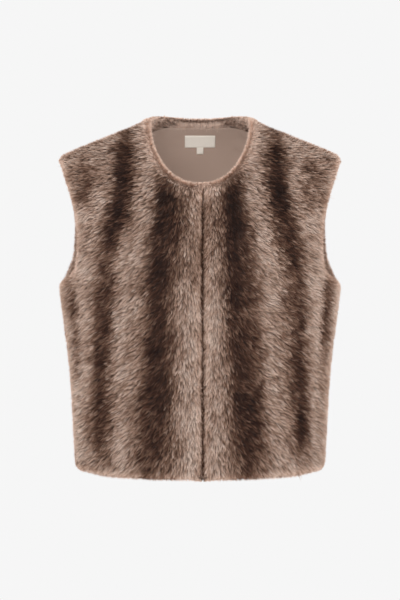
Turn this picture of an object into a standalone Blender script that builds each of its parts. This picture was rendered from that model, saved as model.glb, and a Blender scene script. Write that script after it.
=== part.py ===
"""A sleeveless fur vest: two fur fronts that meet edge to edge, a fur back, a lining and a neck label.

The garment keeps the round, hollow form that it has when worn, and is open at the neck, the
armholes and the hem. Metres, +Z up, the front towards -Y, the wearer's left at +X. The origin
is where the wearer's shoulders carry the vest.
"""

import math
from collections import namedtuple

import bmesh
import bpy
from mathutils import Vector
from mathutils.geometry import delaunay_2d_cdt

FRONT, BACK = -1, 1
LEFT, RIGHT = 1, -1

# The fur wall: its thickness from the knitted backing to the tips of the pile, and its soft edges
PILE = 0.012
ROLL_WIDTH = 0.014
RIM_SHARE = 0.3
LIP_SHARE = 0.35
SEAM_GAP = 0.0003

# The lining lies inside the fur and stops short of the rolled edges
LINING_THICKNESS = 0.0012
LINING_EASE = 0.0004
LINING_INSET = 0.0235
LINING_SEAM_GAP = 0.0014
MERGE = 0.0001

# The garment's outline, to the tips of the pile
HEM_Z, CHEST_Z = -0.516, -0.210
HEM_SIDE_RISE = 0.007
OPENING_X, OPENING_GAP = 0.005, 0.0006
NECK_HALF_WIDTH, NECK_SQUARENESS = 0.0755, 2.2
NECK_FRONT_DROP = 0.107
NECK_BACK_DEPTH = 0.042
SHOULDER_NECK_X, SHOULDER_NECK_Z = 0.080, 0.049
NECK_STAND, NECK_STAND_X, NECK_SOFTNESS = 0.020, 0.077, 0.012
SHOULDER_SLOPE = 0.405
SHOULDER_HALF_WIDTH = 0.221

# How square the horizontal rings and the profile over the shoulder are: 2 is an ellipse
RING_SQUARENESS = {FRONT: 2.15, BACK: 2.3}
PROFILE_SQUARENESS = {FRONT: 2.1, BACK: 2.85}

Section = namedtuple("Section", "height half_width front_depth back_depth")
SECTIONS = (
    Section(-0.516, 0.1985, 0.112, 0.108),
    Section(-0.450, 0.202, 0.115, 0.111),
    Section(-0.352, 0.208, 0.119, 0.115),
    Section(-0.256, 0.220, 0.123, 0.119),
    Section(-0.210, 0.226, 0.124, 0.121),
    Section(-0.110, 0.241, 0.124, 0.121),
    Section(0.010, 0.266, 0.124, 0.121),
)

# The armhole's edge above the underarm, where the side seam ends, up to the shoulder's tip
ArmholeRow = namedtuple("ArmholeRow", "height front_half_width back_half_width")
ARMHOLE = (
    ArmholeRow(-0.204, 0.207, 0.2125),
    ArmholeRow(-0.190, 0.197, 0.2105),
    ArmholeRow(-0.165, 0.190, 0.2065),
    ArmholeRow(-0.120, 0.190, 0.2015),
    ArmholeRow(-0.080, 0.199, 0.205),
    ArmholeRow(-0.050, 0.209, 0.212),
)

# Soft vertical troughs; the angle runs from the middle of the front or back round to the side seam
Fold = namedtuple("Fold", "face angle spread depth top bottom")
FOLDS = (
    Fold(FRONT, math.radians(64), math.radians(8), 0.006, -0.17, -0.46),
    Fold(FRONT, math.radians(30), math.radians(7), 0.003, -0.30, -0.60),
    Fold(BACK, math.radians(66), math.radians(8), 0.005, -0.19, -0.52),
    Fold(BACK, math.radians(34), math.radians(9), 0.005, -0.26, -0.62),
)
FOLD_FADE = 0.07

# A panel is cut flat: how long a turn round the body and a rise are there, and how finely it is cut
FLAT_GIRTH, FLAT_RISE = 0.17, 0.31
EDGE_STEPS = (0.0, 0.002, 0.007, 0.015, 0.0275)
FREE_EDGE_SPACING, SEAM_SPACING, CLOTH_SPACING = 0.0155, 0.022, 0.0235
PATH_SAMPLES = 48

# The woven label and the size tab below it, flat on the lining at the back of the neck
LABEL_WIDTH, LABEL_HEIGHT, LABEL_TOP_Z = 0.050, 0.018, 0.030
TAB_WIDTH, TAB_HEIGHT = 0.011, 0.010
LABEL_THICKNESS = 0.0007
LABEL_STANDS_IN_Y = 0.02

FUR_BROWN = (0.145, 0.092, 0.068)
LINING_TAUPE = (0.235, 0.182, 0.155)
LABEL_CREAM = (0.80, 0.76, 0.66)


def signed_power(value, power):
    """A power that keeps the value's sign."""
    return math.copysign(abs(value) ** power, value)


def section_at(height):
    """The garment's ring at a height, on a smooth curve through the table's rows."""
    last = len(SECTIONS) - 1
    height = min(max(height, SECTIONS[0].height), SECTIONS[last].height)
    low = max(i for i in range(last) if SECTIONS[i].height <= height)
    before, a, b, after = (SECTIONS[min(max(low + k, 0), last)] for k in (-1, 0, 1, 2))
    span = b.height - a.height
    f = (height - a.height) / span
    columns = [height]
    for k in range(1, len(Section._fields)):
        leave = (b[k] - before[k]) / (b.height - before.height) * span
        arrive = (after[k] - a[k]) / (after.height - a.height) * span
        columns.append(
            a[k] * (1 + 2 * f) * (1 - f) ** 2
            + leave * f * (1 - f) ** 2
            + b[k] * f * f * (3 - 2 * f)
            + arrive * f * f * (f - 1)
        )
    return Section(*columns)


def backing_half_width(height):
    """Half the width of the knitted backing at a height."""
    return section_at(height).half_width - PILE


def shoulder_z(x):
    """The backing's height along the shoulder line, which stands up at the neck and is level inside it."""
    past_neck = (abs(x) - SHOULDER_NECK_X) / NECK_SOFTNESS
    fall = SHOULDER_SLOPE * NECK_SOFTNESS * math.log1p(math.exp(past_neck))
    stand = NECK_STAND / 2 * (1 + math.tanh((NECK_STAND_X - abs(x)) / NECK_SOFTNESS))
    return SHOULDER_NECK_Z - fall + stand - PILE * math.hypot(1, SHOULDER_SLOPE)


def hem_z(angle):
    """The hem is a little higher at the sides than in the middle."""
    return HEM_Z + HEM_SIDE_RISE * math.sin(angle) ** 4


def fold_depth(face, angle, height):
    """How far the soft troughs draw the cloth in at a place."""
    depth = 0.0
    for fold in FOLDS:
        if fold.face == face:
            across = math.exp(-(((abs(angle) - fold.angle) / fold.spread) ** 2))
            above = max(0.0, height - fold.top) / FOLD_FADE
            below = max(0.0, fold.bottom - height) / FOLD_FADE
            depth += fold.depth * across * math.exp(-above * above - below * below)
    return depth


def torso(face, angle, rise):
    """A point of the backing, on the wearer's left.

    The angle runs from 0 in the middle of the front or back to a right angle at the side seam.
    The rise runs from -1 at the hem through 0 at the chest to 1 at the shoulder line.
    """
    ring_power = 2 / RING_SQUARENESS[face]
    across = signed_power(math.sin(angle), ring_power)
    deep = max(0.0, math.cos(angle)) ** ring_power
    if rise <= 0:
        height = CHEST_Z + (hem_z(angle) - CHEST_Z) * -rise
        ring = section_at(height)
        x = across * (ring.half_width - PILE)
        lean = 1.0
    else:
        profile_power = 2 / PROFILE_SQUARENESS[face]
        turn = min(rise, 1.0) * math.pi / 2
        climb = math.sin(turn) ** profile_power
        lean = max(0.0, math.cos(turn)) ** profile_power
        ring = section_at(CHEST_Z)
        near = across * (ring.half_width - PILE)
        near_height = CHEST_Z + (shoulder_z(near) - CHEST_Z) * climb
        x = across * backing_half_width(near_height)
        height = CHEST_Z + (shoulder_z(x) - CHEST_Z) * climb
    depth = (ring.front_depth if face == FRONT else ring.back_depth) - PILE
    y = face * depth * deep * lean
    inward = 1 - fold_depth(face, angle, height) / max(math.hypot(x, y), PILE)
    return Vector((x * inward, y * inward, height))


def locate(face, x, height):
    """The angle and rise of the backing's point at a distance from the middle and a height."""
    across = min(1.0, abs(x) / backing_half_width(height))
    angle = math.asin(across ** (RING_SQUARENESS[face] / 2))
    if height <= CHEST_Z:
        rise = (height - CHEST_Z) / (CHEST_Z - hem_z(angle))
    else:
        climb = min(1.0, (height - CHEST_Z) / (shoulder_z(x) - CHEST_Z))
        rise = math.asin(climb ** (PROFILE_SQUARENESS[face] / 2)) / (math.pi / 2)
    return Vector((math.copysign(angle, x), rise))


def smooth_path(points, count):
    """Points on a smooth curve through all but the first and last of those given."""
    path = []
    for k in range(1, len(points) - 2):
        before, a, b, after = points[k - 1 : k + 3]
        for n in range(count):
            f = n / count
            leave, arrive = (b - before) / 2, (after - a) / 2
            path.append(
                a * (1 + 2 * f) * (1 - f) ** 2
                + leave * f * (1 - f) ** 2
                + b * f * f * (3 - 2 * f)
                + arrive * f * f * (f - 1)
            )
    return path + [points[-2]]


def straight_path(start, end):
    """Points on a straight line between two places, in angle and rise."""
    return [start.lerp(end, k / PATH_SAMPLES) for k in range(PATH_SAMPLES + 1)]


def armhole_path(face):
    """The armhole's edge from the underarm to the shoulder's tip."""
    rows = [Vector((math.pi / 2, 0.0))]
    for row in ARMHOLE:
        x = row.front_half_width if face == FRONT else row.back_half_width
        rows.append(locate(face, x, row.height))
    rows.append(locate(face, SHOULDER_HALF_WIDTH, shoulder_z(SHOULDER_HALF_WIDTH)))
    past_underarm = Vector((math.pi - rows[1].x, rows[1].y))
    past_tip = rows[-1] * 2 - rows[-2]
    return smooth_path([past_underarm, *rows, past_tip], PATH_SAMPLES // len(rows))


def neck_path(face, start_x):
    """The neckline from the middle of the front or back to the shoulder line."""
    start = math.asin(signed_power(start_x / NECK_HALF_WIDTH, NECK_SQUARENESS / 2))
    path = []
    for k in range(PATH_SAMPLES + 1):
        turn = start + (math.pi / 2 - start) * k / PATH_SAMPLES
        x = NECK_HALF_WIDTH * signed_power(math.sin(turn), 2 / NECK_SQUARENESS)
        if face == FRONT:
            drop = max(0.0, math.cos(turn)) ** (2 / NECK_SQUARENESS)
            height = shoulder_z(NECK_HALF_WIDTH) - NECK_FRONT_DROP * drop
        else:
            height = back_neck_z(x, NECK_BACK_DEPTH * max(0.0, math.cos(turn)))
        path.append(locate(face, x, height))
    return path


def back_neck_z(x, y):
    """The back's height at a place seen from above."""
    ring_power, profile_power = RING_SQUARENESS[BACK], PROFILE_SQUARENESS[BACK]
    across = abs(x) / backing_half_width(shoulder_z(x))
    depth = (section_at(CHEST_Z).back_depth - PILE) * (1 - across**ring_power) ** (1 / ring_power)
    climb = (1 - (y / depth) ** profile_power) ** (1 / profile_power)
    return CHEST_Z + (shoulder_z(x) - CHEST_Z) * climb


def along(face, path, share):
    """The place a share of the way along a path, by its length on the garment."""
    places = [torso(face, *p) for p in path]
    lengths = [(b - a).length for a, b in zip(places, places[1:])]
    left = share * sum(lengths)
    for k, length in enumerate(lengths):
        if left <= length or k == len(lengths) - 1:
            return path[k].lerp(path[k + 1], min(1.0, left / max(length, 1e-9)))
        left -= length


def path_length(face, path):
    """A path's length on the garment."""
    places = [torso(face, *p) for p in path]
    return sum((b - a).length for a, b in zip(places, places[1:]))


Edge = namedtuple("Edge", "path free")


def panel_edges(face, side):
    """The edges round a half panel on the wearer's left, from the middle of its hem, and which are free."""
    middle_x = side * OPENING_X + OPENING_GAP / 2 if face == FRONT else 0.0
    across = middle_x / backing_half_width(CHEST_Z)
    hem_middle = Vector((math.asin(signed_power(across, RING_SQUARENESS[face] / 2)), -1))
    hem_side = Vector((math.pi / 2, -1))
    neckline = neck_path(face, middle_x)
    armhole = armhole_path(face)
    return (
        Edge(straight_path(hem_middle, hem_side), True),
        Edge(straight_path(hem_side, armhole[0]), False),
        Edge(armhole, True),
        Edge(straight_path(armhole[-1], neckline[-1]), False),
        Edge(neckline[::-1], True),
        Edge(straight_path(neckline[0], hem_middle), face == FRONT),
    )


def edge_places(face, edge):
    """Places along an edge but for its last, close together where a seam meets the free edges."""
    length = path_length(face, edge.path)
    if edge.free:
        count = round(length / FREE_EDGE_SPACING)
        distances = [length * k / count for k in range(count)]
    else:
        first, last = EDGE_STEPS[-1], length - EDGE_STEPS[-1]
        count = round((last - first) / SEAM_SPACING)
        even = [first + (last - first) * k / count for k in range(1, count)]
        distances = [*EDGE_STEPS, *even, *(length - step for step in EDGE_STEPS[:0:-1])]
    return [along(face, edge.path, distance / length) for distance in distances]


def flat(place):
    """Where a place lies on the flat cloth."""
    return Vector((place.x * FLAT_GIRTH, place.y * FLAT_RISE))


def edge_distance(point, segments):
    """How far a point of the flat cloth is from the nearest of some lines."""
    nearest = math.inf
    for a, b in segments:
        along_line = b - a
        f = min(max((point - a).dot(along_line) / along_line.length_squared, 0.0), 1.0)
        nearest = min(nearest, (point - a - along_line * f).length_squared)
    return math.sqrt(nearest)


def roll_points(outline, free, segments):
    """Rows of points along the free edges, where the pile rolls over."""
    points = []
    for k, point in enumerate(outline):
        if free[k - 1] and free[k]:
            arrive = (point - outline[k - 1]).normalized()
            leave = (outline[(k + 1) % len(outline)] - point).normalized()
            inward = (arrive + leave).normalized().orthogonal()
            mitre = 1 / max(0.5, inward.dot(leave.orthogonal()))
            for step in EDGE_STEPS[1:]:
                place = point + inward * step * mitre
                apart = min(((place - other).length for other in points), default=step)
                if edge_distance(place, segments) > 0.96 * step and apart > step / 4:
                    points.append(place)
    return points


def cloth_points(outline, segments):
    """Points of an even lattice, clear of the panel's outline and of its rolled edges."""
    low = Vector(min(p[k] for p in outline) for k in (0, 1))
    high = Vector(max(p[k] for p in outline) for k in (0, 1))
    outline_segments = list(zip(outline, outline[1:] + outline[:1]))
    rows = math.floor((high.y - low.y) / (CLOTH_SPACING * math.sin(math.pi / 3)))
    columns = math.floor((high.x - low.x) / CLOTH_SPACING)
    points = []
    for row in range(1, rows + 1):
        for column in range(columns + 1):
            x = low.x + (column + row % 2 / 2) * (high.x - low.x) / columns
            point = Vector((x, low.y + row * (high.y - low.y) / rows))
            clear_of_roll = edge_distance(point, segments) > EDGE_STEPS[-1] + CLOTH_SPACING / 2
            if clear_of_roll and edge_distance(point, outline_segments) > CLOTH_SPACING / 2:
                points.append(point)
    return points


Cut = namedtuple("Cut", "places faces edge_distances")


def cut_panel(face, side):
    """A half panel's places, the triangles between them, and how far each place is from a free edge."""
    outline, free, segments = [], [], []
    for edge in panel_edges(face, side):
        places = edge_places(face, edge)
        outline += [flat(place) for place in places]
        free += [edge.free] * len(places)
        if edge.free:
            line = [flat(place) for place in edge.path]
            segments += zip(line, line[1:])
    points = outline + roll_points(outline, free, segments) + cloth_points(outline, segments)
    border = list(range(len(outline)))
    inside_only = 1
    points, _, faces, *_ = delaunay_2d_cdt(points, [], [border], inside_only, 1e-6)
    places = [(p.x / FLAT_GIRTH, p.y / FLAT_RISE) for p in points]
    return Cut(places, faces, [edge_distance(p, segments) for p in points])


def pile_share(away):
    """How much of the pile stands at a distance from a free edge: all of it past the roll."""
    f = away / ROLL_WIDTH
    return 1.0 if f >= 1 else math.sqrt(f * (2 - f))


def surface_mesh(name, face, side, inset, lip, ease, seam_gap):
    """A panel's open surface, facing out of the garment, with the share of pile at each point.

    The inset cuts it back from its free edges, the lip rolls those outwards, and the ease draws
    all of it inwards.
    """
    cut = cut_panel(face, side)
    bm = bmesh.new()
    pile = bm.verts.layers.deform.verify()
    verts = []
    moves = []
    for place, away in zip(cut.places, cut.edge_distances):
        x, y, z = torso(face, *place)
        verts.append(bm.verts.new((x * side, y, z)))
        verts[-1][pile][0] = pile_share(away)
        moves.append(lip * max(0.0, 1 - away / ROLL_WIDTH) ** 2 - ease)
    for corners in cut.faces:
        if min(cut.edge_distances[k] for k in corners) >= inset:
            order = reversed(corners) if face * side > 0 else corners
            bm.faces.new([verts[k] for k in order])
    bm.normal_update()
    for vert, move in zip(verts, moves):
        in_middle = face == BACK and vert.co.x < MERGE
        vert.co += vert.normal * move
        vert.co.x = 0.0 if in_middle else vert.co.x
        vert.co.y = face * max(face * vert.co.y, seam_gap / 2)
    bmesh.ops.delete(bm, geom=[v for v in bm.verts if not v.link_faces], context="VERTS")
    mesh = bpy.data.meshes.new(name)
    bm.to_mesh(mesh)
    bm.free()
    return mesh


def cloth_material(name, colour, roughness):
    """A matt cloth of one colour."""
    material = bpy.data.materials.new(name)
    material.use_nodes = True
    shader = material.node_tree.nodes["Principled BSDF"]
    shader.inputs["Base Color"].default_value = (*colour, 1)
    shader.inputs["Roughness"].default_value = roughness
    shader.inputs["Metallic"].default_value = 0.0
    return material


def add_object(name, mesh, material, collection):
    """An object of the vest, shaded smooth."""
    mesh.materials.append(material)
    mesh.shade_smooth()
    made = bpy.data.objects.new(name, mesh)
    collection.objects.link(made)
    return made


def mirror_across(made):
    """The other half of a piece that crosses the middle of the back."""
    mirror = made.modifiers.new("other half", "MIRROR")
    mirror.merge_threshold = 0.0001


def thicken(made, thickness, offset):
    """Gives an open surface its thickness: offset 1 is outwards, -1 inwards."""
    wall = made.modifiers.new("wall", "SOLIDIFY")
    wall.thickness = thickness
    wall.offset = offset
    return wall


def make_fur(name, face, side, material, collection):
    """A fur panel: its backing rolls outwards at the free edges, where the pile thins to a rim."""
    mesh = surface_mesh(name, face, side, 0.0, PILE * LIP_SHARE, 0.0, SEAM_GAP)
    made = add_object(name, mesh, material, collection)
    pile = made.vertex_groups.new(name="pile")
    if face == BACK:
        mirror_across(made)
    wall = thicken(made, PILE, 1)
    wall.vertex_group = pile.name
    wall.thickness_vertex_group = RIM_SHARE
    return made


def make_lining(name, face, side, material, collection):
    """A lining panel, just inside the fur's backing."""
    mesh = surface_mesh(name, face, side, LINING_INSET, 0.0, LINING_EASE, LINING_SEAM_GAP)
    made = add_object(name, mesh, material, collection)
    if face == BACK:
        mirror_across(made)
    thicken(made, LINING_THICKNESS, -1)
    return made


def make_label(name, width, height, top_z, lining, material, collection):
    """A flat woven label, laid on the inside of the lining at the back of the neck."""
    bm = bmesh.new()
    bmesh.ops.create_grid(bm, x_segments=8, y_segments=4, size=0.5)
    for vert in bm.verts:
        across, up = vert.co.x, vert.co.y
        vert.co = Vector((across * width, LABEL_STANDS_IN_Y, top_z + (up - 0.5) * height))
    bm.normal_update()
    bm.faces.ensure_lookup_table()
    if bm.faces[0].normal.y > 0:
        bmesh.ops.reverse_faces(bm, faces=bm.faces)
    mesh = bpy.data.meshes.new(name)
    bm.to_mesh(mesh)
    bm.free()
    made = add_object(name, mesh, material, collection)
    laid = made.modifiers.new("laid on the lining", "SHRINKWRAP")
    laid.target = lining
    laid.wrap_method = "PROJECT"
    laid.wrap_mode = "ABOVE_SURFACE"
    laid.use_project_y = True
    laid.use_positive_direction = True
    laid.use_negative_direction = False
    laid.offset = SEAM_GAP
    thicken(made, LABEL_THICKNESS, 1)
    return made


def main():
    """Builds the vest's pieces in a collection of their own."""
    for old in list(bpy.data.objects):
        bpy.data.objects.remove(old)
    vest = bpy.data.collections.new("fur vest")
    bpy.context.scene.collection.children.link(vest)

    fur = cloth_material("brown fur", FUR_BROWN, 0.9)
    taupe = cloth_material("taupe lining", LINING_TAUPE, 0.6)
    cream = cloth_material("cream label", LABEL_CREAM, 0.7)

    make_fur("front_left", FRONT, LEFT, fur, vest)
    make_fur("front_right", FRONT, RIGHT, fur, vest)
    make_fur("back", BACK, LEFT, fur, vest)
    make_lining("lining_front_left", FRONT, LEFT, taupe, vest)
    make_lining("lining_front_right", FRONT, RIGHT, taupe, vest)
    lining = make_lining("lining_back", BACK, LEFT, taupe, vest)
    make_label("neck_label", LABEL_WIDTH, LABEL_HEIGHT, LABEL_TOP_Z, lining, cream, vest)
    tab_top = LABEL_TOP_Z - LABEL_HEIGHT - SEAM_GAP
    make_label("size_tab", TAB_WIDTH, TAB_HEIGHT, tab_top, lining, cream, vest)


main()
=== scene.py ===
"""The looks of the fur vest: a streaked plush pile, a satin lining and a bare woven label.

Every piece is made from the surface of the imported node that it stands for, in metres, +Z up,
with the front towards -Y and the wearer's left at +X.
"""

import logging
import math
from dataclasses import dataclass
from enum import Enum

import bmesh
import bpy
import numpy as np
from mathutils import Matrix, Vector
from mathutils.bvhtree import BVHTree
from mathutils.kdtree import KDTree

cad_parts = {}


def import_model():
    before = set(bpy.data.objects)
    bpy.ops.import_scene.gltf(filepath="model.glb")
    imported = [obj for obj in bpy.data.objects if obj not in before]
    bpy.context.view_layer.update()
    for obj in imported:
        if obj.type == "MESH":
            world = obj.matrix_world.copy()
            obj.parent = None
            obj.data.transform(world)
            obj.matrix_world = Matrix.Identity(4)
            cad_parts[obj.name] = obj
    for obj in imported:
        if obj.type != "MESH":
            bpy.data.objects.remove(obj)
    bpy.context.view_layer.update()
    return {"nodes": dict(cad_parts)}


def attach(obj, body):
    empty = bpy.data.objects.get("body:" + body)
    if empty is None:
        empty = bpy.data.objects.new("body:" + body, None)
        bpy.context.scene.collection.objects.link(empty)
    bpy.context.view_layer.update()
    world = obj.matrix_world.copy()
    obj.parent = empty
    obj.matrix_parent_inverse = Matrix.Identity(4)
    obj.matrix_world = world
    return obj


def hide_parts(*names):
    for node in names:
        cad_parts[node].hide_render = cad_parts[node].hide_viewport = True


LOG = logging.getLogger("fur_vest")
BODY = "root"
COAT = "coat"
BAKE_MAP = "OFBake"
TINY = 1e-9

# The curve that a display gives its bytes.
DISPLAY_OFFSET = 0.055
DISPLAY_POWER = 2.4

# The wearer's body, for telling the outside of the vest from its inside: how much the width counts
# beside the depth, how far the front is set from the back and how soon, and how far below the
# shoulders the body begins to round over.
WIDTH_COUNTS = 0.65
FRONT_FROM_BACK = 0.06
FRONT_FROM_BACK_WITHIN = 0.02
ROUNDS_OVER_BELOW = 0.08

# A stitch is a spindle with two ends and then four sides.
SPINDLE_POINTS = 6
SPINDLE_FACES = np.array(
    ((0, 2, 3), (0, 3, 4), (0, 4, 5), (0, 5, 2), (1, 3, 2), (1, 4, 3), (1, 5, 4), (1, 2, 5))
)

Colour = tuple[float, float, float]
Place = tuple[float, float, float]
Span = tuple[float, float]


class Slot(Enum):
    """The record's material slots."""

    FUR = "fur"
    LINING = "lining"
    LABEL = "label"


def unit(vectors: np.ndarray) -> np.ndarray:
    """Rows of unit length."""
    return vectors / np.maximum(np.linalg.norm(vectors, axis=1, keepdims=True), TINY)


def ease(low: float, high: float, values: np.ndarray) -> np.ndarray:
    """A smooth step from 0 at one value to 1 at another."""
    f = np.clip((values - low) / (high - low), 0.0, 1.0)
    return f * f * (3 - 2 * f)


def fade(distances: np.ndarray, reach: float) -> np.ndarray:
    """An even fall from 1 at no distance to 0 at the reach."""
    return 1 - np.clip(distances / reach, 0.0, 1.0)


def dots(a: np.ndarray, b: np.ndarray) -> np.ndarray:
    """The dot product of each pair of rows, as a column."""
    return (a * b).sum(axis=1, keepdims=True)


def between(values: np.ndarray, places: np.ndarray, rows: np.ndarray) -> np.ndarray:
    """Rows of three numbers, read at values between the places that they are given for."""
    return np.stack([np.interp(values, places, rows[:, k]) for k in range(3)], axis=1)


def nearest(places: np.ndarray, among: np.ndarray) -> np.ndarray:
    """Finds the nearest of some points.

    Args:
        places: where to look from.
        among: the points to choose from.

    Returns:
        For each place, the row of the point that is nearest to it.
    """
    tree = KDTree(len(among))
    for k, place in enumerate(among):
        tree.insert(place, k)
    tree.balance()
    return np.array([tree.find(place)[1] for place in places])


def outwards(points: np.ndarray) -> np.ndarray:
    """The way out, from the middle of the wearer's body.

    Args:
        points: places on the vest.

    Returns:
        A unit direction for each place.
    """
    ways = points * (WIDTH_COUNTS, 1.0, 0.0)
    ways[:, 1] += FRONT_FROM_BACK * np.tanh(points[:, 1] / FRONT_FROM_BACK_WITHIN)
    ways[:, 2] = np.maximum(points[:, 2] + ROUNDS_OVER_BELOW, 0.0)
    return unit(ways)


def linear(red: int, green: int, blue: int) -> Colour:
    """A colour given in display bytes, as the renderer counts light."""
    shares = (np.array((red, green, blue)) / 255 + DISPLAY_OFFSET) / (1 + DISPLAY_OFFSET)
    return tuple(float(c) for c in shares**DISPLAY_POWER)


class NodeSurface:
    """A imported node's surface as arrays, with the corners that its file splits joined again.

    Attributes:
        points: the vertices.
        faces: the three vertices of each face.
        tree: the surface, for finding places on it.
        areas: each face's area.
        face_normals: the way each face faces.
        centres: the middle of each face.
        seam_walls: which faces are the hidden walls of a side or shoulder seam.
        normals: the way the surface faces at each vertex.
    """

    JOIN = 1e-6
    JUST_BELOW = 1e-4
    SEAM_REACH = 0.0008
    SEAM_FACING = 0.8
    SHARP = math.cos(math.radians(52))

    def __init__(self, node: bpy.types.Object) -> None:
        """Reads a node's mesh.

        Args:
            node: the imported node's object.
        """
        made = bmesh.new()
        made.from_mesh(node.data)
        bmesh.ops.remove_doubles(made, verts=made.verts, dist=self.JOIN)
        made.verts.index_update()
        self.points = np.array([v.co[:] for v in made.verts])
        self.faces = np.array([[v.index for v in f.verts] for f in made.faces])
        made.free()
        self.tree = BVHTree.FromPolygons(self.points.tolist(), self.faces.tolist())
        a, b, c = (self.points[self.faces[:, k]] for k in range(3))
        across = np.cross(b - a, c - a)
        self.areas = np.linalg.norm(across, axis=1) / 2
        self.face_normals = unit(across)
        self.centres = (a + b + c) / 3
        near_seam = np.abs(self.points[self.faces, 1]).max(axis=1) < self.SEAM_REACH
        self.seam_walls = near_seam & (np.abs(self.face_normals[:, 1]) > self.SEAM_FACING)
        self.normals = self._vertex_normals(across)

    def _vertex_normals(self, across: np.ndarray) -> np.ndarray:
        """Smooth normals that take no part of the hidden seam walls.

        Args:
            across: each face's normal, as long as twice its area.

        Returns:
            A unit normal for each vertex.
        """
        shares = across * ~self.seam_walls[:, None]
        normals = np.zeros_like(self.points)
        for k in range(3):
            np.add.at(normals, self.faces[:, k], shares)
        return unit(normals)

    def thickness(self, most: float) -> np.ndarray:
        """How thick the wall is below each vertex.

        Args:
            most: the largest thickness that counts, in metres.

        Returns:
            One thickness for each vertex.
        """
        found = np.full(len(self.points), most)
        for k, (point, normal) in enumerate(zip(self.points, self.normals)):
            start = Vector(point - normal * self.JUST_BELOW)
            distance = self.tree.ray_cast(start, Vector(-normal), most)[3]
            found[k] = most if distance is None else distance
        return found

    def free_edges(self) -> np.ndarray:
        """The free edges of the panel, along the sharp corner of its wall.

        Returns:
            A pair of vertices for each short edge.
        """
        pairs = np.concatenate([self.faces[:, (k, (k + 1) % 3)] for k in range(3)])
        pairs = np.sort(pairs, axis=1)
        owners = np.tile(np.arange(len(self.faces)), 3)
        order = np.lexsort((pairs[:, 1], pairs[:, 0]))
        pairs, one, other = pairs[order][::2], owners[order][::2], owners[order][1::2]
        cosines = (self.face_normals[one] * self.face_normals[other]).sum(axis=1)
        return pairs[(cosines < self.SHARP) & ~self.seam_walls[one] & ~self.seam_walls[other]]

    def faces_out(self, points: np.ndarray, normals: np.ndarray) -> np.ndarray:
        """Which normals point away from the wearer."""
        return dots(outwards(points), normals)[:, 0] > 0


def mesh_of(name: str, points: np.ndarray, faces: np.ndarray) -> bpy.types.Mesh:
    """A mesh from arrays.

    Args:
        name: the mesh's name.
        points: its vertices.
        faces: the vertices of each face, a row each.

    Returns:
        The mesh, with smooth faces.
    """
    mesh = bpy.data.meshes.new(name)
    mesh.vertices.add(len(points))
    mesh.vertices.foreach_set("co", np.ascontiguousarray(points, dtype=np.float32).ravel())
    mesh.loops.add(faces.size)
    mesh.loops.foreach_set("vertex_index", np.ascontiguousarray(faces, dtype=np.int32).ravel())
    mesh.polygons.add(len(faces))
    starts = np.arange(len(faces), dtype=np.int32) * faces.shape[1]
    mesh.polygons.foreach_set("loop_start", starts)
    mesh.update(calc_edges=True)
    mesh.shade_smooth()
    return mesh


def spindles(name: str, points: np.ndarray) -> bpy.types.Mesh:
    """A mesh of stitches.

    Args:
        name: the mesh's name.
        points: the points of each stitch, one stitch after another.

    Returns:
        The mesh.
    """
    firsts = np.arange(0, len(points), SPINDLE_POINTS)
    faces = SPINDLE_FACES[None] + firsts[:, None, None]
    return mesh_of(name, points, faces.reshape(-1, 3))


def tree_of(piece: bpy.types.Object) -> BVHTree:
    """The surface of a piece, for finding places on it.

    Args:
        piece: the piece.

    Returns:
        Its surface.
    """
    made = bmesh.new()
    made.from_mesh(piece.data)
    tree = BVHTree.FromBMesh(made)
    made.free()
    return tree


def paint(mesh: bpy.types.Mesh, colours: np.ndarray) -> None:
    """Stores a colour at each vertex.

    Args:
        mesh: the mesh.
        colours: a colour for each vertex.
    """
    layer = mesh.attributes.new(COAT, "FLOAT_COLOR", "POINT")
    filled = np.ones((len(colours), 4), dtype=np.float32)
    filled[:, :3] = colours
    layer.data.foreach_set("color", filled.ravel())


def add_piece(mesh: bpy.types.Mesh, material: bpy.types.Material) -> bpy.types.Object:
    """Puts a piece into the scene, on the vest's body.

    Args:
        mesh: the piece's mesh, which it shares its name with.
        material: its finish.

    Returns:
        The new object.
    """
    mesh.materials.append(material)
    piece = bpy.data.objects.new(mesh.name, mesh)
    bpy.context.scene.collection.objects.link(piece)
    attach(piece, BODY)
    LOG.info("%s: %d faces", piece.name, len(mesh.polygons))
    return piece


def new_material(name: str) -> tuple[bpy.types.Material, bpy.types.NodeTree, bpy.types.Node]:
    """Starts a material.

    Args:
        name: the material's name.

    Returns:
        The material, its node tree and its shader.
    """
    material = bpy.data.materials.new(name)
    material.use_nodes = True
    return material, material.node_tree, material.node_tree.nodes["Principled BSDF"]


def coat_colour(tree: bpy.types.NodeTree) -> bpy.types.NodeSocket:
    """Reads the painted colour of a mesh.

    Args:
        tree: a material's node tree.

    Returns:
        The socket that gives the colour.
    """
    colour = tree.nodes.new("ShaderNodeAttribute")
    colour.attribute_name = COAT
    return colour.outputs["Color"]


def emboss(
    tree: bpy.types.NodeTree, shader: bpy.types.Node, texture: bpy.types.Node, height: float
) -> None:
    """Raises a texture on a material's surface.

    Args:
        tree: the material's node tree.
        shader: its shader.
        texture: the texture, which is laid by the object's own places.
        height: how high it stands, in metres.
    """
    place = tree.nodes.new("ShaderNodeTexCoord")
    bump = tree.nodes.new("ShaderNodeBump")
    bump.inputs["Distance"].default_value = height
    tree.links.new(place.outputs["Object"], texture.inputs["Vector"])
    tree.links.new(texture.outputs["Fac"], bump.inputs["Height"])
    tree.links.new(bump.outputs["Normal"], shader.inputs["Normal"])


@dataclass(frozen=True)
class PileFinish:
    """The hairs: each carries its own colour, darker at the root than at the tip."""

    roughness: float = 0.55
    specular: float = 0.12

    def material(self) -> bpy.types.Material:
        """Builds the material of the hairs.

        Returns:
            The material.
        """
        material, tree, shader = new_material("fur_pile")
        tree.links.new(coat_colour(tree), shader.inputs["Base Color"])
        shader.inputs["Roughness"].default_value = self.roughness
        shader.inputs["Specular IOR Level"].default_value = self.specular
        return material


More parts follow.
